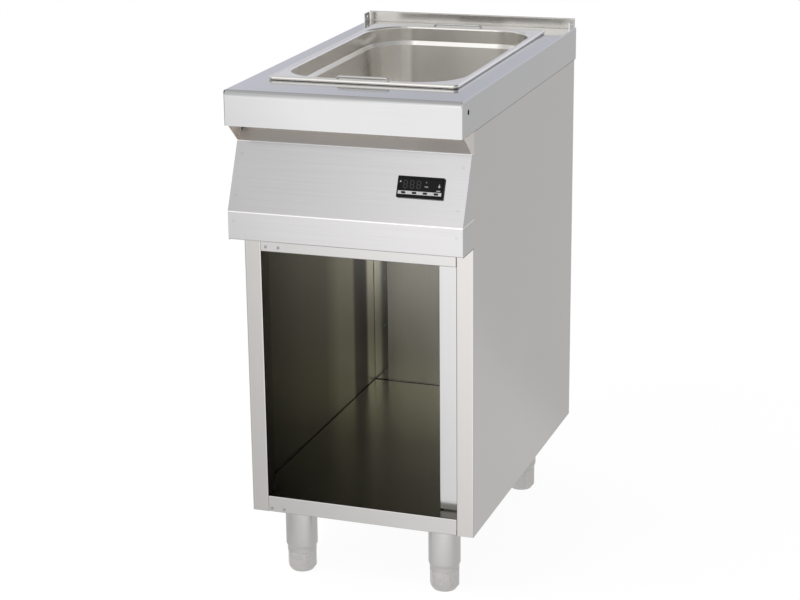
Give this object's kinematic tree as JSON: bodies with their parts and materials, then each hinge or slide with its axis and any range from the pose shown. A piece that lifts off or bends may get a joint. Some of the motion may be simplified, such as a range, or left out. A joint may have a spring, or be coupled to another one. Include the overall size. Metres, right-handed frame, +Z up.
{
  "type": "electric bain marie",
  "caption": "Free-standing stainless electric bain marie: worktop with lift-out food pan over a heated water tank, slanted control panel and open cabinet on levelling feet.",
  "frame": {"origin": "on the floor under the middle of the worktop", "axes": "+Z up, -Y towards the front, +X to the right seen from the front"},
  "size_m": [0.4, 0.7, 0.889],
  "materials": {
    "worktop_steel": "brushed stainless steel",
    "body_steel": "satin stainless steel",
    "pan_steel": "satin drawn stainless steel",
    "polished_steel": "polished stainless steel",
    "zinc_steel": "zinc plated steel",
    "element_steel": "heat darkened stainless steel",
    "brass": "plain brass",
    "black_plastic": "matt black",
    "grey_plastic": "matt grey",
    "white_plastic": "matt white",
    "key_plastic": "matt dark grey",
    "red_plastic": "matt red",
    "display": "smoked gloss",
    "mineral_wool": "fibrous"
  },
  "bodies": {
    "frame": {"back_panel": "body_steel", "base_channel_left": "zinc_steel", "base_channel_right": "zinc_steel", "cabinet_ceiling": "body_steel", "cabinet_floor": "body_steel", "cable_gland": "black_plastic", "cheek_left": "body_steel", "cheek_right": "body_steel", "component_plate": "zinc_steel", "control_fascia": "body_steel", "controller_bezel": "black_plastic", "controller_clips": "grey_plastic", "controller_housing": "black_plastic", "display_window": "display", "door_stop_strip": "body_steel", "drain_fitting": "brass", "drain_spout": "brass", "drain_valve_body": "brass", "element_fittings": "brass", "element_supports": "pan_steel", "heater_relay": "grey_plastic", "heating_element": "element_steel", "joining_lug_left": "worktop_steel", "joining_lug_right": "worktop_steel", "joining_nut_left": "zinc_steel", "joining_nut_right": "zinc_steel", "keypad_strip": "white_plastic", "leg_bolts": "zinc_steel", "leg_front_left": "polished_steel", "leg_front_right": "polished_steel", "leg_rear_left": "polished_steel", "leg_rear_right": "polished_steel", "rear_upstand": "worktop_steel", "safety_thermostat": "grey_plastic", "side_panel_left": "body_steel", "side_panel_right": "body_steel", "tank_insulation": "mineral_wool", "temperature_probe": "pan_steel", "terminal_block": "grey_plastic", "top_rail": "body_steel", "water_tank": "pan_steel", "worktop": "worktop_steel"},
    "pan": {"gn_pan": "pan_steel"},
    "handle_front": {"pan_handle_front": "polished_steel", "handle_legs_front": "polished_steel"},
    "handle_rear": {"pan_handle_rear": "polished_steel", "handle_legs_rear": "polished_steel"},
    "key_1": {"key_1": "key_plastic"},
    "key_2": {"key_2": "key_plastic"},
    "key_3": {"key_3": "key_plastic"},
    "key_4": {"key_4": "key_plastic"},
    "foot_front_left": {"foot_front_left": "polished_steel"},
    "foot_front_right": {"foot_front_right": "polished_steel"},
    "foot_rear_left": {"foot_rear_left": "polished_steel"},
    "foot_rear_right": {"foot_rear_right": "polished_steel"},
    "lever": {"valve_lever": "red_plastic"},
    "reset": {"reset_button": "red_plastic"}
  },
  "joints": [
    {"name": "pan_lift", "type": "slide", "parent": "frame", "child": "pan", "axis": [0, 0, 1], "range_m": [0, 0.2]},
    {"name": "handle_front_lift", "type": "slide", "parent": "pan", "child": "handle_front", "axis": [0, 0, 1], "range_m": [0, 0.036]},
    {"name": "handle_rear_lift", "type": "slide", "parent": "pan", "child": "handle_rear", "axis": [0, 0, 1], "range_m": [0, 0.036]},
    {"name": "key_1_press", "type": "slide", "parent": "frame", "child": "key_1", "axis": [0, 0.9103, -0.4139], "range_m": [0, 0.0006], "stiffness_N_per_m": 400},
    {"name": "key_2_press", "type": "slide", "parent": "frame", "child": "key_2", "axis": [0, 0.9103, -0.4139], "range_m": [0, 0.0006], "stiffness_N_per_m": 400},
    {"name": "key_3_press", "type": "slide", "parent": "frame", "child": "key_3", "axis": [0, 0.9103, -0.4139], "range_m": [0, 0.0006], "stiffness_N_per_m": 400},
    {"name": "key_4_press", "type": "slide", "parent": "frame", "child": "key_4", "axis": [0, 0.9103, -0.4139], "range_m": [0, 0.0006], "stiffness_N_per_m": 400},
    {"name": "foot_front_left_screw", "type": "slide", "parent": "frame", "child": "foot_front_left", "axis": [0, 0, -1], "range_m": [0, 0.03]},
    {"name": "foot_front_right_screw", "type": "slide", "parent": "frame", "child": "foot_front_right", "axis": [0, 0, -1], "range_m": [0, 0.03]},
    {"name": "foot_rear_left_screw", "type": "slide", "parent": "frame", "child": "foot_rear_left", "axis": [0, 0, -1], "range_m": [0, 0.03]},
    {"name": "foot_rear_right_screw", "type": "slide", "parent": "frame", "child": "foot_rear_right", "axis": [0, 0, -1], "range_m": [0, 0.03]},
    {"name": "drain_lever", "type": "hinge", "parent": "frame", "child": "lever", "pos_m": [0.09, 0.136, 0.5505], "axis": [0, -1, 0], "range_deg": [0, 90]},
    {"name": "reset_press", "type": "slide", "parent": "frame", "child": "reset", "axis": [0, 1, 0], "range_m": [0, 0.002], "stiffness_N_per_m": 400}
  ]
}
